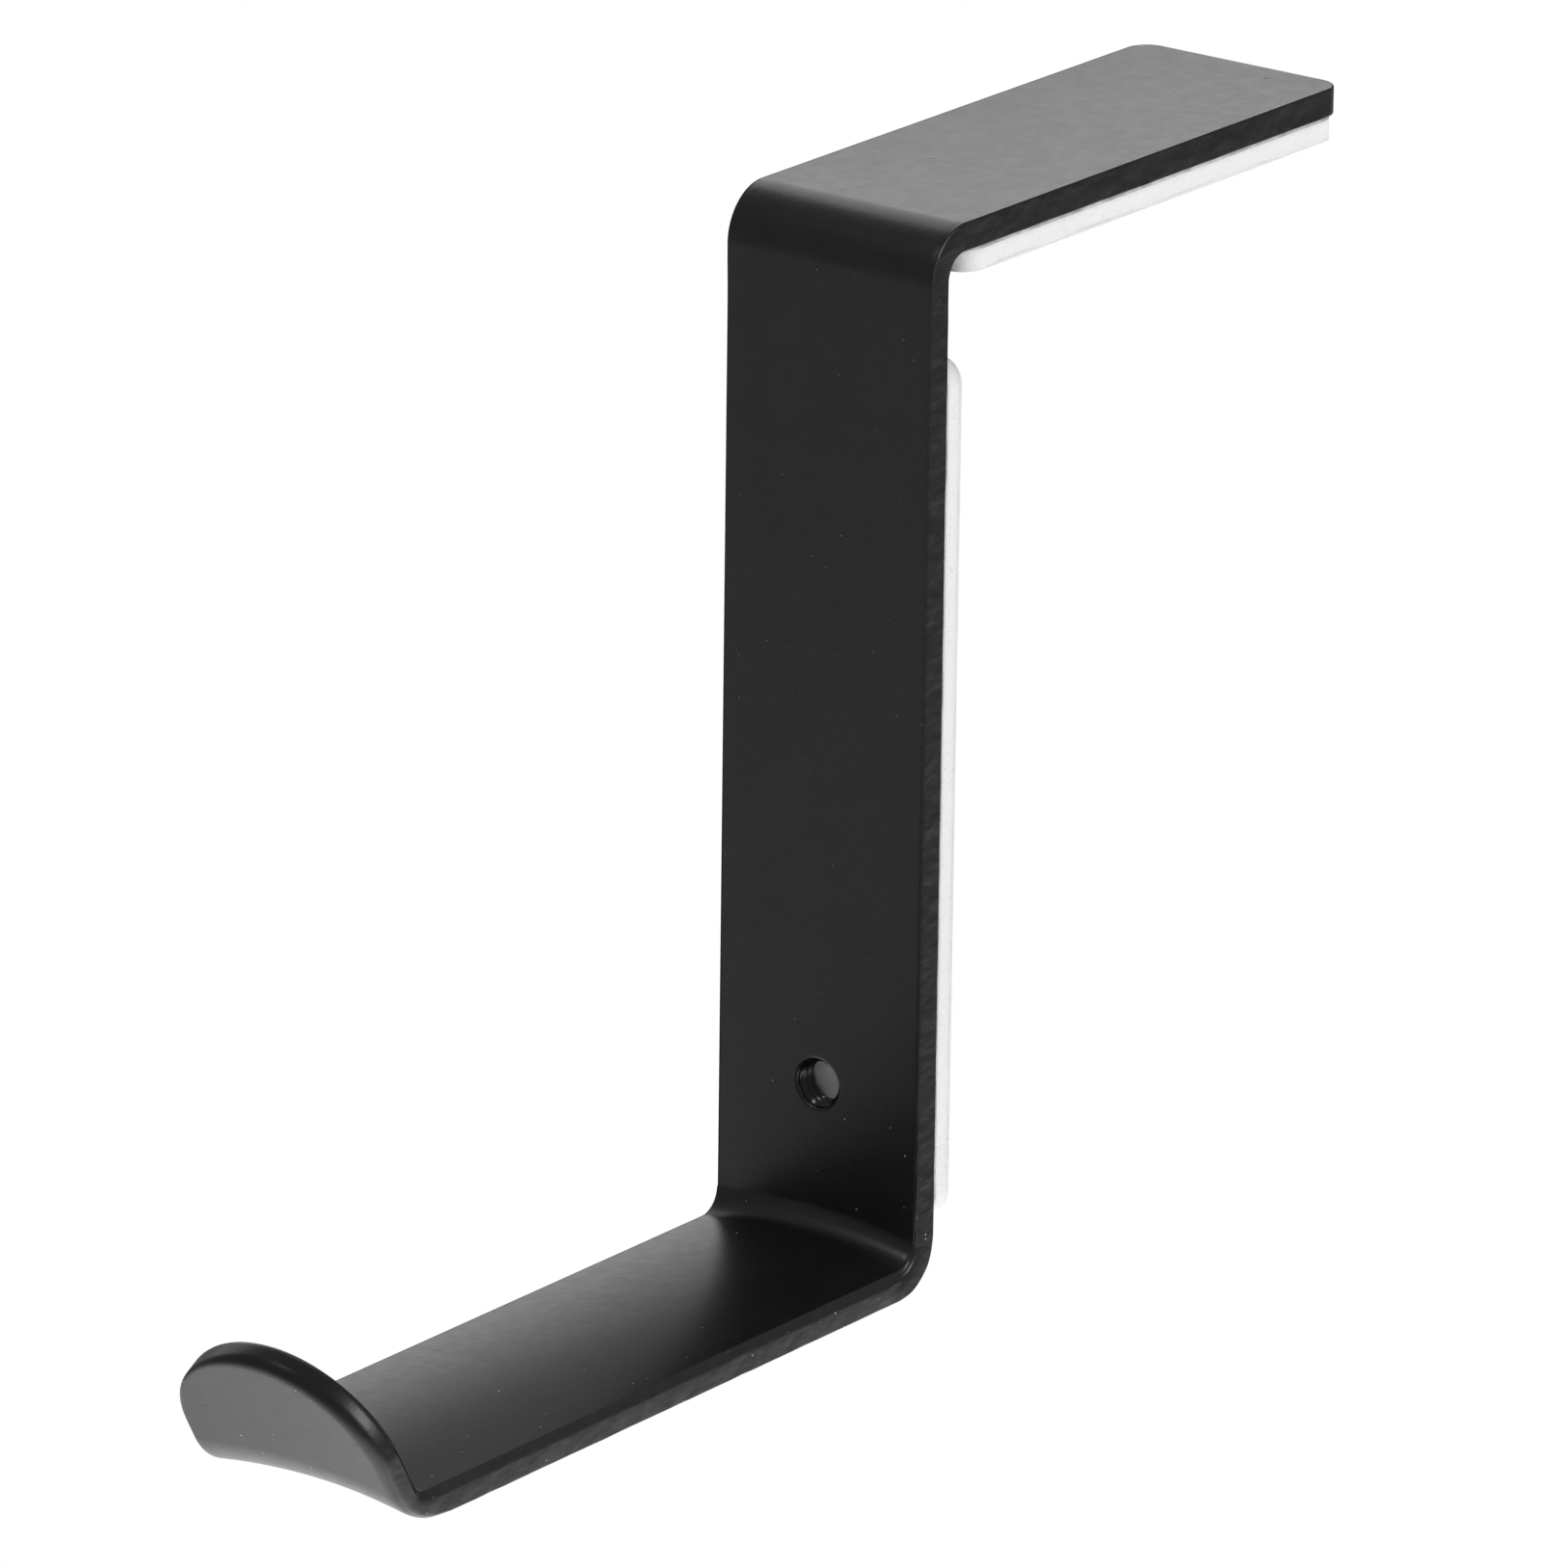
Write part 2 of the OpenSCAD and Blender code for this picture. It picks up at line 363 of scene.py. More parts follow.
def flat_blank():
    """The bar before bending: x across, y along it from the flange's end, z through it."""
    bm = bmesh.new()
    tip_centre = BAR_L - LIP_TIP_R
    corner_x = HALF_W - LIP_CORNER_R
    reach = LIP_TIP_R - LIP_CORNER_R
    corner_s = tip_centre + math.sqrt(reach ** 2 - corner_x ** 2)
    lean = math.degrees(math.acos(corner_x / reach))
    end = bm.verts.new((0, BAR_L, 0))
    end = arc(bm, end, (0, tip_centre, 0), lean - 90, TIP_ARC_STEPS)
    end = arc(bm, end, (corner_x, corner_s, 0), -lean, TIP_ARC_STEPS)
    end = line(bm, end, (HALF_W, FLANGE_CORNER_R, 0))
    flange_corner = (HALF_W - FLANGE_CORNER_R, FLANGE_CORNER_R, 0)
    end = arc(bm, end, flange_corner, -90, FLANGE_CORNER_STEPS)
    line(bm, end, (0, 0, 0))
    bmesh.ops.mirror(bm, geom=bm.verts[:] + bm.edges[:], matrix=Matrix(), merge_dist=1e-4, axis="X")
    start, cuts = 0.0, []
    for length, curve in RUNS:
        steps = BEND_STEPS if curve else round(length / (LIP_STEP if length == LIP_L else STRAIGHT_STEP))
        cuts += spread(start, start + length, steps) + [start + length]
        start += length
    cuts = [place for place in cuts if place < BAR_L - TIP_UNCUT]
    cut(bm, 1, cuts)

    # The outline is carried up ring by ring, and each ring is then drawn in to round the rims.
    # In is towards the middle line, which stops short of both ends.
    line_start, line_end = 14, LIP_START - 2
    inwards = {}
    for vert in bm.verts:
        pull = Vector()
        for edge in vert.link_edges:
            along = edge.other_vert(vert).co - vert.co
            square = Vector((-along.y, along.x, 0)).normalized()
            middle = Vector((0, min(max(vert.co.y, line_start), line_end), 0))
            pull += square if square.dot(middle - vert.co) > 0 else -square
        inwards[outline_key(vert.co)] = pull.normalized()
    ring = bm.edges[:]
    for _ in range(2 * RIM_STEPS + 2):
        grown = bmesh.ops.extrude_edge_only(bm, edges=ring)["geom"]
        bmesh.ops.translate(bm, vec=(0, 0, 1), verts=verts_in(grown))
        ring = [g for g in grown if isinstance(g, bmesh.types.BMEdge) and
                abs(g.verts[0].co.z - g.verts[1].co.z) < 0.5]
    for vert in bm.verts:
        inset, height = rim_place(round(vert.co.z), vert.co.y, vert.co.x)
        vert.co = vert.co + inwards[outline_key(vert.co)] * inset
        vert.co.z = height
    bmesh.ops.holes_fill(bm, edges=[e for e in bm.edges if e.is_boundary], sides=0)
    cut(bm, 1, cuts)
    cut(bm, 0, both_sides(BAR_STRIPS))
    return bm


def outline_key(co):
    """Names a point of the outline, the same in every ring above it."""
    return round(co.x, 3), round(co.y, 3)


def lathe(bm, profile):
    """A round solid from half its outline, given as radius and height."""
    verts = [bm.verts.new((r, 0, h)) for r, h in profile]
    edges = [bm.edges.new(pair) for pair in zip(verts, verts[1:])]
    bmesh.ops.spin(bm, geom=verts + edges, cent=(0, 0, 0), axis=(0, 0, 1), angle=math.tau,
                   steps=THREAD_STEPS, use_merge=True)
    bmesh.ops.remove_doubles(bm, verts=bm.verts[:], dist=1e-4)


def at_hole(bm, flip=1):
    """Turns a shape drawn round +z to lie along the hole, from the middle of the bar."""
    turn = Matrix.Rotation(math.radians(90 * flip), 4, "X")
    middle = Matrix.Translation((0, HALF_T, HOLE_Z))
    bmesh.ops.transform(bm, matrix=middle @ turn, verts=bm.verts[:])
    return bm


def thread_core():
    """What the tap takes off: a threaded rod that reaches past both faces of the bar."""
    bm = bmesh.new()
    low = -THREAD_PITCH * THREAD_TURNS / 2
    verts = [bm.verts.new((r, 0, low + h)) for r, h in THREAD_PROFILE]
    edges = [bm.edges.new(pair) for pair in zip(verts, verts[1:])]
    bmesh.ops.spin(bm, geom=verts + edges, cent=(0, 0, 0), axis=(0, 0, 1),
                   dvec=(0, 0, THREAD_PITCH / THREAD_STEPS), angle=math.tau * THREAD_TURNS,
                   steps=THREAD_STEPS * THREAD_TURNS)
    bmesh.ops.remove_doubles(bm, verts=bm.verts[:], dist=1e-4)
    for way in (-1, 1):
        end = (0, 0, way * (HALF_T + THREAD_OVERRUN))
        bmesh.ops.bisect_plane(bm, geom=whole(bm), dist=1e-5, plane_co=end, plane_no=(0, 0, way),
                               clear_outer=True)
    bmesh.ops.holes_fill(bm, edges=[e for e in bm.edges if e.is_boundary], sides=0)
    return at_hole(bm)


def mouth_flare(flip):
    """What the rounded mouth of the hole takes off, on one side of the bar."""
    bm = bmesh.new()
    centre_h = HALF_T - MOUTH_ROUND
    bow = [(MOUTH_R - MOUTH_ROUND * math.cos(a), centre_h + MOUTH_ROUND * math.sin(a))
           for a in (math.radians(15 * i) for i in range(7))]
    top = HALF_T + MOUTH_OVERRUN
    core = [(0, MOUTH_CORE_FROM), (MOUTH_CORE_R, MOUTH_CORE_FROM)]
    lathe(bm, core + bow + [(MOUTH_R, top), (0, top)])
    return at_hole(bm, flip)


def take_off(piece, cutters):
    """Cuts shapes out of a piece for good."""
    for cutter in cutters:
        change = piece.modifiers.new("Cut", "BOOLEAN")
        change.operation = "DIFFERENCE"
        change.solver = "EXACT"
        change.object = cutter
    bpy.context.view_layer.update()
    done = piece.evaluated_get(bpy.context.evaluated_depsgraph_get())
    mesh = bpy.data.meshes.new_from_object(done)
    piece.modifiers.clear()
    old, piece.data = piece.data, mesh
    bpy.data.meshes.remove(old)
    mesh.name = piece.name
    for cutter in cutters:
        bpy.data.objects.remove(cutter)


def make_bracket(material):
    bm = flat_blank()
    for vert in bm.verts:
        vert.co = bar_point(vert.co)
    piece = settle(bm, "bent_bar", material)
    take_off(piece, [settle(thread_core(), "tap", None),
                     settle(mouth_flare(1), "front_mouth", None),
                     settle(mouth_flare(-1), "back_mouth", None)])
    piece.data.set_sharp_from_angle(angle=BRACKET_SHARP_ANGLE)
    even = piece.modifiers.new("Even shading", "WEIGHTED_NORMAL")
    even.keep_sharp = True
    return piece


# Pads

def pad_sheet(length, low, high, rim_r, rim_steps, waver):
    """One layer of a pad, its cut edge wavering inwards: x across, y along from 0, z from the steel out."""
    bm = bmesh.new()
    thick = high - low
    inner_x = PAD_HALF_W - PAD_CORNER_R
    end = bm.verts.new((0, length, 0))
    end = line(bm, end, (inner_x, length, 0))
    end = arc(bm, end, (inner_x, length - PAD_CORNER_R, 0), -90, PAD_CORNER_STEPS)
    end = line(bm, end, (PAD_HALF_W, PAD_CORNER_R, 0))
    end = arc(bm, end, (inner_x, PAD_CORNER_R, 0), -90, PAD_CORNER_STEPS)
    line(bm, end, (0, 0, 0))
    slab(bm, thick, rim_r, rim_steps)
    cut(bm, 1, spread(0, length, round(length / PAD_STEP)))
    cut(bm, 0, both_sides(PAD_STRIPS))
    if thick > THICK_LAYER:
        cut(bm, 2, spread(0, thick, 4))
    for vert in bm.verts:
        x, y, z = vert.co
        inward = 0.0
        for share, (across, along, through), start in WAVERS:
            place = Vector((x * across, y * along, z * through + low + start))
            inward += waver * share * (noise.noise(place) + 0.5)
        vert.co.x = drawn_in(x, PAD_HALF_W, inward)
        vert.co.y = length / 2 + drawn_in(y - length / 2, length / 2, inward)
    return bm


def drawn_in(place, edge, inward):
    """A place on one side or the other of a middle line, drawn in where it is near the edge."""
    return place - math.copysign(inward, place) * smooth_step(edge - WAVER_BAND, edge, abs(place))


def under_flange(bm, low):
    """Lays a layer under the flange, from low millimetres out from the steel."""
    place = Matrix(((1, 0, 0, 0), (0, 1, 0, TOP_PAD[0]), (0, 0, -1, FLANGE_UNDERSIDE - low), (0, 0, 0, 1)))
    bmesh.ops.transform(bm, matrix=place, verts=bm.verts[:])
    return bm


def behind_upright(bm, low):
    """Stands a layer behind the upright, from low millimetres out from the steel."""
    place = Matrix(((1, 0, 0, 0), (0, 0, 1, BAR_T + low), (0, 1, 0, BACK_PAD[0]), (0, 0, 0, 1)))
    bmesh.ops.transform(bm, matrix=place, verts=bm.verts[:])
    return bm


# Materials

def feed(socket, value):
    """Links another node's output into a socket, or sets a plain value there."""
    if isinstance(value, bpy.types.NodeSocket):
        socket.id_data.links.new(value, socket)
    else:
        socket.default_value = value


def add(tree, kind, inputs=(), **settings):
    made = tree.nodes.new(kind)
    for name, value in settings.items():
        setattr(made, name, value)
    for socket, value in dict(inputs).items():
        feed(made.inputs[socket], value)
    return made


def math_node(tree, operation, a, b=0.0, c=0.0, clamp=False):
    made = add(tree, "ShaderNodeMath", {0: a, 1: b, 2: c}, operation=operation, use_clamp=clamp)
    return made.outputs[0]


def ramp(tree, value, low, high, to_low=0.0, to_high=1.0):
    """Maps a value softly from one range to another."""
    return add(tree, "ShaderNodeMapRange", {"Value": value, "From Min": low, "From Max": high,
                                            "To Min": to_low, "To Max": to_high},
               interpolation_type="SMOOTHSTEP").outputs["Result"]


def group(name, sockets_in, sockets_out):
    tree = bpy.data.node_groups.new(name, "ShaderNodeTree")
    for label, kind, value in sockets_in:
        socket = tree.interface.new_socket(label, in_out="INPUT", socket_type=kind)
        if value is not None:
            socket.default_value = value
    for label, kind in sockets_out:
        tree.interface.new_socket(label, in_out="OUTPUT", socket_type=kind)
    return tree, tree.nodes.new("NodeGroupInput").outputs, tree.nodes.new("NodeGroupOutput").inputs


def specks_group():
    """Scattered round specks: a mask that is 1 in each speck."""
    tree, given, out = group("specks", (
        ("Vector", "NodeSocketVector", None), ("Spacing", "NodeSocketFloat", 0.004),
        ("Size", "NodeSocketFloat", 0.0001), ("Share", "NodeSocketFloat", 0.3)),
        (("Mask", "NodeSocketFloat"),))
    scale = math_node(tree, "DIVIDE", 1.0, given["Spacing"])
    cells = add(tree, "ShaderNodeTexVoronoi", {"Vector": given["Vector"], "Scale": scale},
                feature="F1")
    apart = math_node(tree, "MULTIPLY", cells.outputs["Distance"], given["Spacing"])
    draw = add(tree, "ShaderNodeSeparateColor", {"Color": cells.outputs["Color"]})
    size = math_node(tree, "MULTIPLY", given["Size"],
                     math_node(tree, "ADD", draw.outputs["Green"], 0.4))
    near = math_node(tree, "SUBTRACT", 1.0, math_node(tree, "DIVIDE", apart, size), clamp=True)
    soft = ramp(tree, near, 0.0, 0.45)
    chosen = math_node(tree, "LESS_THAN", draw.outputs["Red"], given["Share"])
    feed(out["Mask"], math_node(tree, "MULTIPLY", soft, chosen))
    return tree


def relief_group():
    """Fine unevenness of a surface at two grain sizes, as a height from 0 to 1."""
    tree, given, out = group("relief", (
        ("Vector", "NodeSocketVector", None), ("Coarse grain", "NodeSocketFloat", 0.001),
        ("Fine grain", "NodeSocketFloat", 0.0002), ("Fine share", "NodeSocketFloat", 0.3)),
        (("Height", "NodeSocketFloat"),))
    parts = []
    for label in ("Coarse grain", "Fine grain"):
        scale = math_node(tree, "DIVIDE", 1.0, given[label])
        grains = add(tree, "ShaderNodeTexNoise", {"Vector": given["Vector"], "Scale": scale,
                                                  "Detail": 1.5, "Roughness": 0.45})
        parts.append(grains.outputs["Fac"])
    mixed = add(tree, "ShaderNodeMix", {0: given["Fine share"], 2: parts[0], 3: parts[1]})
    feed(out["Height"], mixed.outputs[0])
    return tree


def mottle_group():
    """Slow cloudy variation between two values."""
    tree, given, out = group("mottle", (
        ("Vector", "NodeSocketVector", None), ("Patch", "NodeSocketFloat", 0.01),
        ("Low", "NodeSocketFloat", 0.0), ("High", "NodeSocketFloat", 1.0)),
        (("Value", "NodeSocketFloat"),))
    scale = math_node(tree, "DIVIDE", 1.0, given["Patch"])
    cloud = add(tree, "ShaderNodeTexNoise", {"Vector": given["Vector"], "Scale": scale,
                                             "Detail": 4.0, "Roughness": 0.55}).outputs["Fac"]
    feed(out["Value"], ramp(tree, cloud, 0.3, 0.7, given["Low"], given["High"]))
    return tree


def near_hole_group():
    """A mask that is 1 round the tapped hole's axis, and ends between two distances from it."""
    tree, given, out = group("near_hole", (
        ("Vector", "NodeSocketVector", None), ("From", "NodeSocketFloat", 0.0024),
        ("To", "NodeSocketFloat", 0.0027)),
        (("Mask", "NodeSocketFloat"),))
    split = add(tree, "ShaderNodeSeparateXYZ", {"Vector": given["Vector"]}).outputs
    across = math_node(tree, "POWER", split["X"], 2.0)
    up = math_node(tree, "POWER", math_node(tree, "ADD", split["Z"], (HOME.z - HOLE_Z) * MM), 2.0)
    from_axis = math_node(tree, "SQRT", math_node(tree, "ADD", across, up))
    around = ramp(tree, from_axis, given["From"], given["To"], 1.0, 0.0)
    # The axis runs on to the lip's tip, so the mask ends in front of the upright.
    at_upright = math_node(tree, "GREATER_THAN", split["Y"], -(HOME.y + HOLE_MASK_REACH) * MM)
    feed(out["Mask"], math_node(tree, "MULTIPLY", around, at_upright))
    return tree


SPECKS = specks_group()
RELIEF = relief_group()
MOTTLE = mottle_group()
NEAR_HOLE = near_hole_group()


def use(tree, shared, **inputs):
    """Places a shared node group in a material, with its own values."""
    made = tree.nodes.new("ShaderNodeGroup")
    made.node_tree = shared
    for label, value in inputs.items():
        feed(made.inputs[label.replace("_", " ")], value)
    return made.outputs[0]


def grey(level):
    return level, level, level, 1


def colour_mix(tree, share, first, second):
    """A colour between two colours, by a mask."""
    return add(tree, "ShaderNodeMix", {0: share, 6: first, 7: second}, data_type="RGBA").outputs[2]


def grey_mix(tree, share, dark, light):
    return colour_mix(tree, share, grey(dark), grey(light))


def new_material(name, **shader_values):
    material = bpy.data.materials.new(name)
    material.use_nodes = True
    tree = material.node_tree
    shader = tree.nodes["Principled BSDF"]
    for label, value in shader_values.items():
        shader.inputs[label.replace("_", " ")].default_value = value
    coordinates = tree.nodes.new("ShaderNodeTexCoord").outputs["Object"]
    return material, tree, shader, coordinates


def bump(tree, shader, height, depth):
    made = add(tree, "ShaderNodeBump", {"Height": height, "Distance": depth, "Strength": 1.0})
    feed(shader.inputs["Normal"], made.outputs["Normal"])


def powder_coat():
    """Black powder coat: a fine orange peel, a few dust specks and pits, and uneven sheared sides."""
    material, tree, shader, at = new_material("black_powder_coat", Specular_IOR_Level=0.5, IOR=1.5)
    split = add(tree, "ShaderNodeSeparateXYZ", {"Vector": at}).outputs
    # Dust settles low down, on the arm and the lip.
    dusty = ramp(tree, split["Z"], -0.088, -0.082, 1.0, 0.3)
    share = math_node(tree, "MULTIPLY", dusty, 0.42)
    specks = use(tree, SPECKS, Vector=at, Spacing=0.0015, Size=0.0001, Share=share)
    dust = math_node(tree, "MULTIPLY", specks, dusty)
    pits = use(tree, SPECKS, Vector=at, Spacing=0.0018, Size=0.00018, Share=0.13)
    shade = use(tree, MOTTLE, Vector=at, Patch=0.006, Low=0.0, High=1.0)
    coat = grey_mix(tree, shade, 0.0040, 0.0062)
    feed(shader.inputs["Base Color"], colour_mix(tree, dust, coat, grey(0.34)))
    rough = use(tree, MOTTLE, Vector=at, Patch=0.0016, Low=0.325, High=0.36)
    # Inside the tapped hole the steel is bare and shinier.
    shine = math_node(tree, "MULTIPLY", use(tree, NEAR_HOLE, Vector=at), 0.16)
    feed(shader.inputs["Roughness"], math_node(tree, "SUBTRACT", rough, shine))
    peel = use(tree, RELIEF, Vector=at, Coarse_grain=0.0009, Fine_grain=0.00026, Fine_share=0.5)
    # Shearing leaves the bar's two long sides faintly uneven.
    side = ramp(tree, math_node(tree, "ABSOLUTE", split["X"]), 0.0122, 0.01245)
    stretched = add(tree, "ShaderNodeMapping", {"Vector": at, "Scale": (1.0, 0.5, 0.8)}).outputs[0]
    uneven = use(tree, RELIEF, Vector=stretched, Coarse_grain=0.0018, Fine_grain=0.0007,
                 Fine_share=0.2)
    sheared = math_node(tree, "MULTIPLY", side, uneven)
    height = math_node(tree, "MULTIPLY_ADD", sheared, 11.0, peel)
    height = math_node(tree, "MULTIPLY_ADD", pits, -2.5, height)
    height = math_node(tree, "MULTIPLY_ADD", dust, 1.5, height)
    bump(tree, shader, height, 0.00002)
    return material


def foam_material():
    """White closed-cell foam with a soft, lightly pitted cut edge; its pits are also painted a darker grey,
    as painted shade in their hollows.
    """
    material, tree, shader, at = new_material("white_foam", Roughness=0.85, Specular_IOR_Level=0.25,
                                              Subsurface_Weight=0.3, Subsurface_Scale=0.0012)
    shader.inputs["Subsurface Radius"].default_value = (1, 1, 1)
    shade = use(tree, MOTTLE, Vector=at, Patch=0.003, Low=0.0, High=1.0)
    cells = use(tree, SPECKS, Vector=at, Spacing=0.00045, Size=0.00016, Share=0.45)
    white = grey_mix(tree, shade, 0.97, 0.995)
    # The pits are painted grey (0.86) at a 0.35 share: painted shade in their hollows.
    painted_pit_shade = math_node(tree, "MULTIPLY", cells, 0.35)
    feed(shader.inputs["Base Color"], colour_mix(tree, painted_pit_shade, white, grey(0.86)))
    grain = use(tree, RELIEF, Vector=at, Coarse_grain=0.0009, Fine_grain=0.0002, Fine_share=0.5)
    bump(tree, shader, math_node(tree, "MULTIPLY_ADD", cells, -1.0, grain), 0.00003)
    return material


def adhesive_material(name, dark, light, roughness):
    """Tacky film: clouded, mottled between a darker and a lighter grey, and a plain light grey (0.93) where
    it spans the hole.
    """
    material, tree, shader, at = new_material(name, Specular_IOR_Level=0.5)
    patches = use(tree, MOTTLE, Vector=at, Patch=0.0035, Low=0.0, High=1.0)
    over_hole = use(tree, NEAR_HOLE, Vector=at, From=0.0028, To=0.004)
    mottled_film = grey_mix(tree, patches, dark, light)
    feed(shader.inputs["Base Color"], colour_mix(tree, over_hole, mottled_film, grey(0.93)))
    rough = use(tree, MOTTLE, Vector=at, Patch=0.002, Low=roughness, High=roughness + 0.15)
    feed(shader.inputs["Roughness"], rough)
    grain = use(tree, RELIEF, Vector=at, Coarse_grain=0.0016, Fine_grain=0.0003, Fine_share=0.3)
    bump(tree, shader, grain, 0.00003)
    return material


def liner_material():
    """Siliconed paper: smooth, off-white, with faint fibres."""
    material, tree, shader, at = new_material("release_paper", Specular_IOR_Level=0.5)
    stretched = add(tree, "ShaderNodeMapping", {"Vector": at, "Scale": (1.0, 0.2, 0.2)}).outputs[0]
    fibres = use(tree, RELIEF, Vector=stretched, Coarse_grain=0.0006, Fine_grain=0.00018,
                 Fine_share=0.4)
    feed(shader.inputs["Base Color"], grey_mix(tree, fibres, 0.88, 0.95))
    feed(shader.inputs["Roughness"], use(tree, MOTTLE, Vector=at, Patch=0.006, Low=0.34, High=0.46))
    bump(tree, shader, fibres, 0.000012)
    return material


# Pieces

def place_piece(piece, body, node):
    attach(piece, body)
    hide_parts(node)


place_piece(make_bracket(powder_coat()), "hook", "bracket")

LAYERS = (
    # name, which is its slot's too, from and to out from the steel, rim radius, rim steps, waver
    ("inner_adhesive", 0.0, 0.3, 0.05, 2, 0.16),
    ("foam", 0.3, 2.25, 0.03, 2, 0.10),
    ("outer_adhesive", 2.25, 2.4, 0.015, 1, 0.10),
    ("liner", 2.4, 2.5, 0.015, 1, 0.06),
)
finishes = {
    # The inner film is a dark to mid grey (0.34 to 0.72), far darker than the outer film; its cut edge runs
    # along the steel.
    "inner_adhesive": adhesive_material("inner_tack", 0.34, 0.72, 0.35),
    "foam": foam_material(),
    "outer_adhesive": adhesive_material("outer_tack", 0.9, 0.97, 0.3),
    "liner": liner_material(),
}
for pad, lay, (start, end) in (("top", under_flange, TOP_PAD), ("back", behind_upright, BACK_PAD)):
    for layer, low, high, rim_r, rim_steps, waver in LAYERS:
        bm = lay(pad_sheet(end - start, low, high, rim_r, rim_steps, waver), low)
        piece = settle(bm, f"{pad}_{layer}_sheet", finishes[layer])
        body = f"{pad}_liner" if layer == "liner" else "hook"
        place_piece(piece, body, f"{pad}_{layer}")


# Camera

CAMERA_TARGET = Vector((-4.629, -37.75, -54.404))
CAMERA_DISTANCE = 1349.2
CAMERA_AZIMUTH, CAMERA_ELEVATION, CAMERA_ROLL = 36.762, 18.667, 0.719
CAMERA_LENS = 312.36


def make_camera():
    azimuth, elevation, roll = (math.radians(a) for a in (CAMERA_AZIMUTH, CAMERA_ELEVATION, CAMERA_ROLL))
    target = CAMERA_TARGET * MM
    back = Vector((math.sin(azimuth) * math.cos(elevation),
                   -math.cos(azimuth) * math.cos(elevation),
                   math.sin(elevation)))
    right = Vector((math.cos(azimuth), math.sin(azimuth), 0))
    up = back.cross(right)
    across = right * math.cos(roll) + up * math.sin(roll)
    upright = up * math.cos(roll) - right * math.sin(roll)
    data = bpy.data.cameras.new("camera")
    data.sensor_width = 36
    data.lens = CAMERA_LENS
    data.clip_start, data.clip_end = 0.05, 20
    camera = new_object("camera", data)
    turn = Matrix((across, upright, back)).transposed()
    camera.matrix_world = Matrix.Translation(target + back * CAMERA_DISTANCE * MM) @ turn.to_4x4()
    bpy.context.scene.camera = camera


make_camera()


# Stage and light

FLOOR_Z = -205.0            # low enough for the back liner to slide clear of its pad
FLOOR_HALF = 2500.0

# Way it lies in, angles where it ends and where it is full, and how much brighter it is
TENT_SIDES = (
    ((-0.6365, 0.7586, 0.1392), 12, 7, 1.43),
    ((-0.841, 0.324, 0.433), 24, 6, 0.8),
    ((0.567, 0.759, -0.32), 30, 10, -0.1),
    ((0.627, 0.755, 0.2), 20, 6, -0.09),
)
TENT_LEVEL, TENT_LOW_LEVEL = 0.275, 1.125
TENT_LOW_FROM, TENT_LOW_FULL = -0.25, -0.6  # how steeply down, as the sine

SOFTBOXES = (
    # name, place, what it is aimed at, width, height, radiance, opening in degrees
    ("left_far_softbox", (-70, 110, 88), (0, 110, 88), 110, 104, 0.98, 180),
    ("left_near_softbox", (-70, 30, 88), (0, 30, 88), 50, 104, 1.27, 180),
    ("right_fill", (600, 60, 200), (0, 0, -20), 300, 300, 6.8, 180),
    ("gridded_key", (-49, -196, 150), (11, -40.5, -98.5), 26, 120, 0.3, 24),
    ("light_table", (-10, -110, -150), (-10, -110, 0), 150, 150, 0.376, 120),
    ("lit_floor", (26, -86, -105.2), (26, -86, 0), 34, 98, 0.4, 180),
)


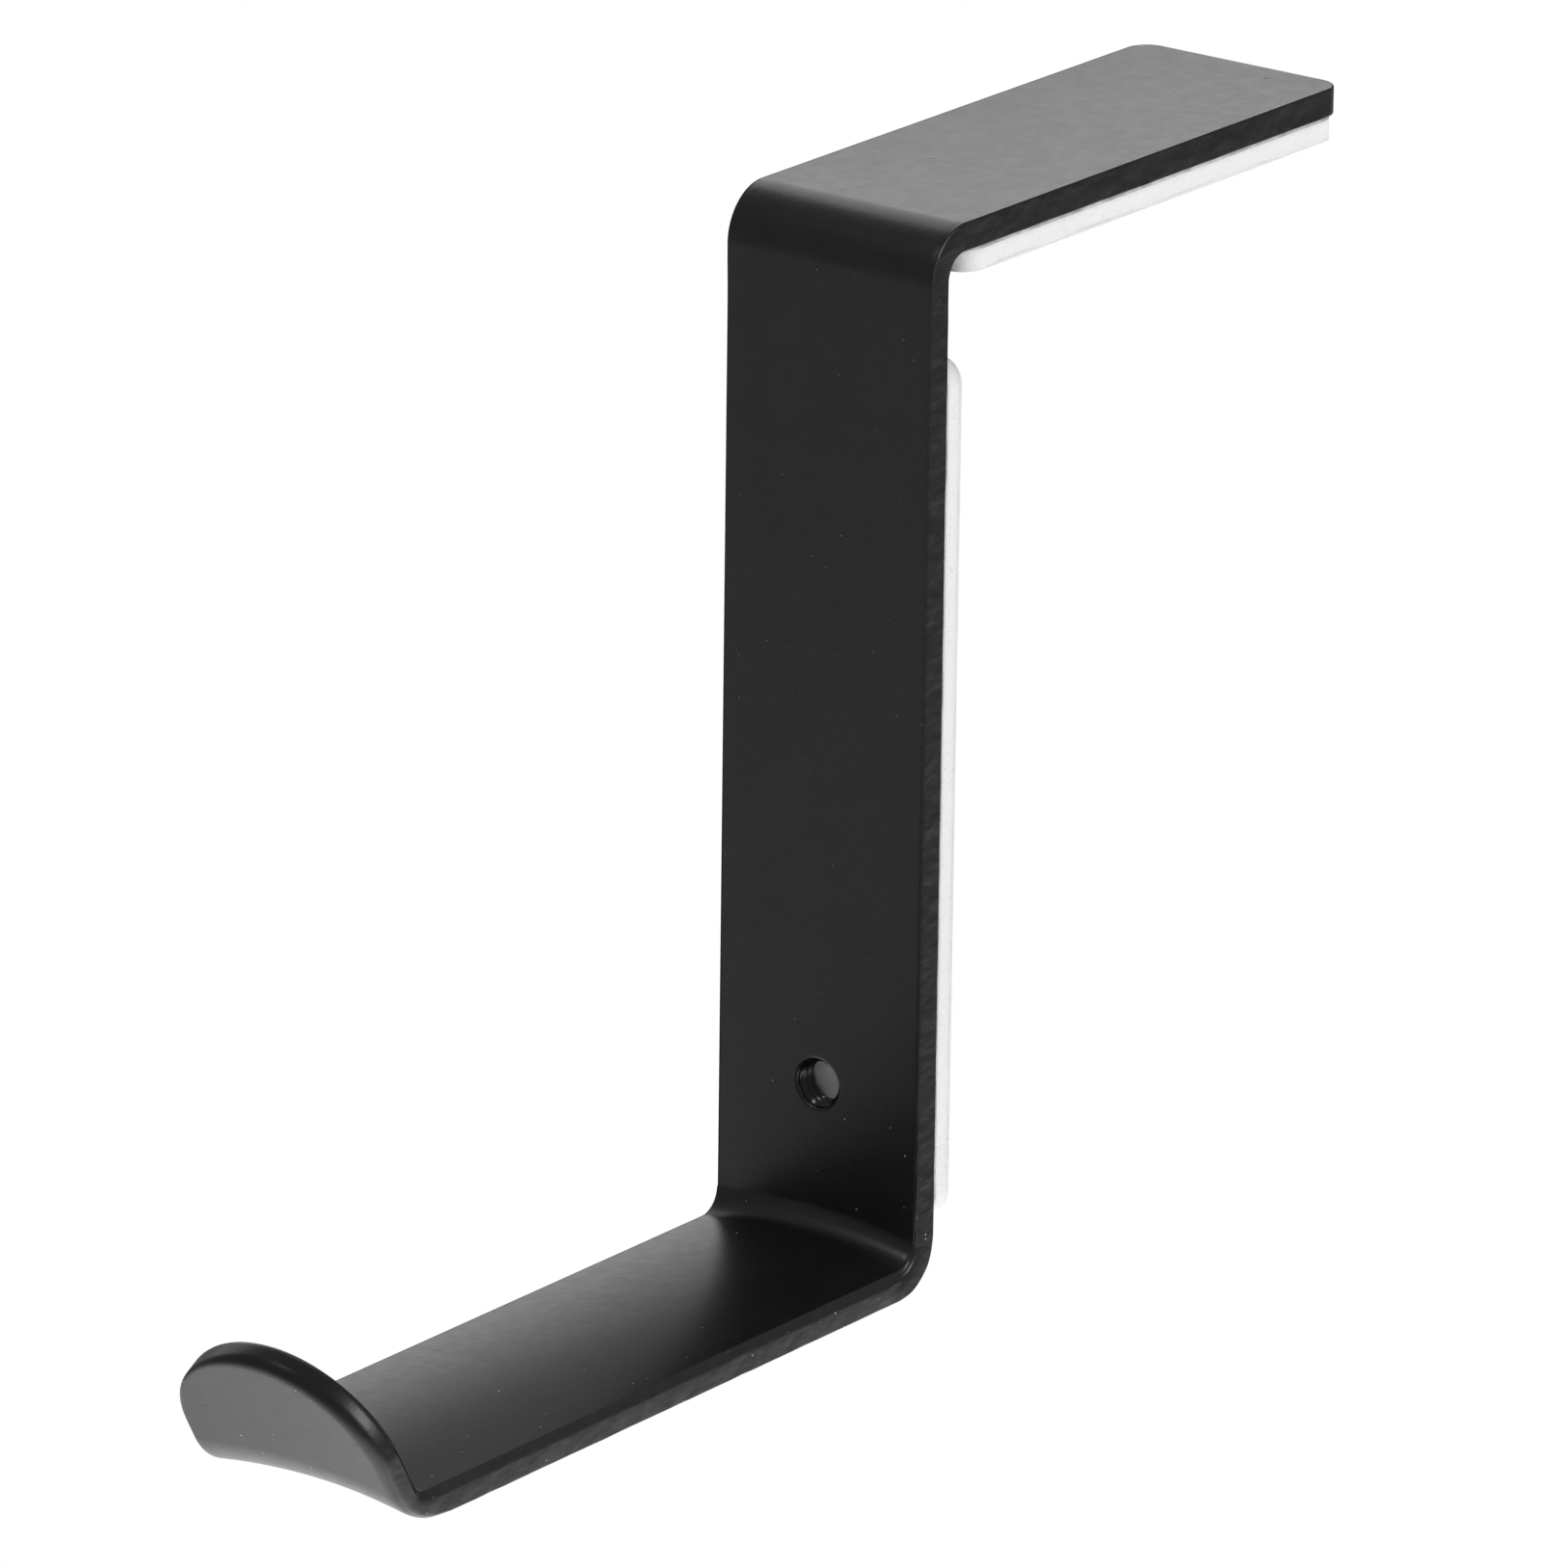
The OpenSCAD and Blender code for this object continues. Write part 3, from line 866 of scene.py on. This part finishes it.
def make_floor():
    bm = bmesh.new()
    bmesh.ops.create_grid(bm, x_segments=1, y_segments=1, size=FLOOR_HALF * MM,
                          matrix=Matrix.Translation((0, 0, FLOOR_Z * MM)))
    mesh = bpy.data.meshes.new("floor")
    bm.to_mesh(mesh)
    bm.free()
    floor = new_object("floor", mesh)
    material = bpy.data.materials.new("white_floor")
    material.use_nodes = True
    tree = material.node_tree
    tree.nodes.clear()
    white = add(tree, "ShaderNodeEmission", {"Color": (1, 1, 1, 1), "Strength": 1.0}).outputs[0]
    clear = add(tree, "ShaderNodeBsdfTransparent").outputs[0]
    below = add(tree, "ShaderNodeNewGeometry").outputs["Backfacing"]
    mixed = add(tree, "ShaderNodeMixShader", {0: below, 1: white, 2: clear}).outputs[0]
    add(tree, "ShaderNodeOutputMaterial", {"Surface": mixed})
    mesh.materials.append(material)
    # The light comes evenly through the floor, as on a light table.
    floor.visible_diffuse = floor.visible_glossy = floor.visible_shadow = False
    floor.visible_transmission = floor.visible_volume_scatter = False
    floor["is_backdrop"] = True


def toward(tree, direction, way, wide, narrow, amount):
    """How strongly a direction points one way: amount within the narrow angle, 0 beyond the wide."""
    met = add(tree, "ShaderNodeVectorMath", {0: direction, 1: Vector(way).normalized()},
              operation="DOT_PRODUCT")
    ends, full = (math.cos(math.radians(angle)) for angle in (wide, narrow))
    return ramp(tree, met.outputs["Value"], ends, full, 0.0, amount)


def make_tent():
    """A white tent: plain white for the camera; for the object dim above, bright below, uneven round it."""
    world = bpy.data.worlds.new("tent")
    bpy.context.scene.world = world
    world.use_nodes = True
    tree = world.node_tree
    tree.nodes.clear()
    direction = add(tree, "ShaderNodeTexCoord").outputs["Generated"]
    height = add(tree, "ShaderNodeSeparateXYZ", {"Vector": direction}).outputs["Z"]
    level = ramp(tree, height, TENT_LOW_FROM, TENT_LOW_FULL, TENT_LEVEL, TENT_LOW_LEVEL)
    for way, wide, narrow, amount in TENT_SIDES:
        level = math_node(tree, "ADD", level, toward(tree, direction, way, wide, narrow, amount))
    tent = add(tree, "ShaderNodeBackground", {"Color": (1, 1, 1, 1), "Strength": level}).outputs[0]
    white = add(tree, "ShaderNodeBackground", {"Color": (1, 1, 1, 1), "Strength": 1.0}).outputs[0]
    seen = add(tree, "ShaderNodeLightPath").outputs["Is Camera Ray"]
    mixed = add(tree, "ShaderNodeMixShader", {0: seen, 1: tent, 2: white}).outputs[0]
    add(tree, "ShaderNodeOutputWorld", {"Surface": mixed})


def softbox(name, place, aim, width, height, radiance, opening):
    """A rectangular soft light, its place and aim in millimetres from the row's origin."""
    data = bpy.data.lights.new(name, "AREA")
    data.shape = "RECTANGLE"
    data.size, data.size_y = width * MM, height * MM
    data.energy = math.pi * data.size * data.size_y * radiance
    data.spread = math.radians(opening)
    light = new_object(name, data)
    place, aim = Vector(place) * MM, Vector(aim) * MM
    turn = (aim - place).to_track_quat("-Z", "Y").to_matrix().to_4x4()
    light.matrix_world = Matrix.Translation(place) @ turn
    light.visible_camera = False


make_floor()
make_tent()
for entry in SOFTBOXES:
    softbox(*entry)

bpy.context.scene.view_settings.view_transform = "Standard"

low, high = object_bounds()
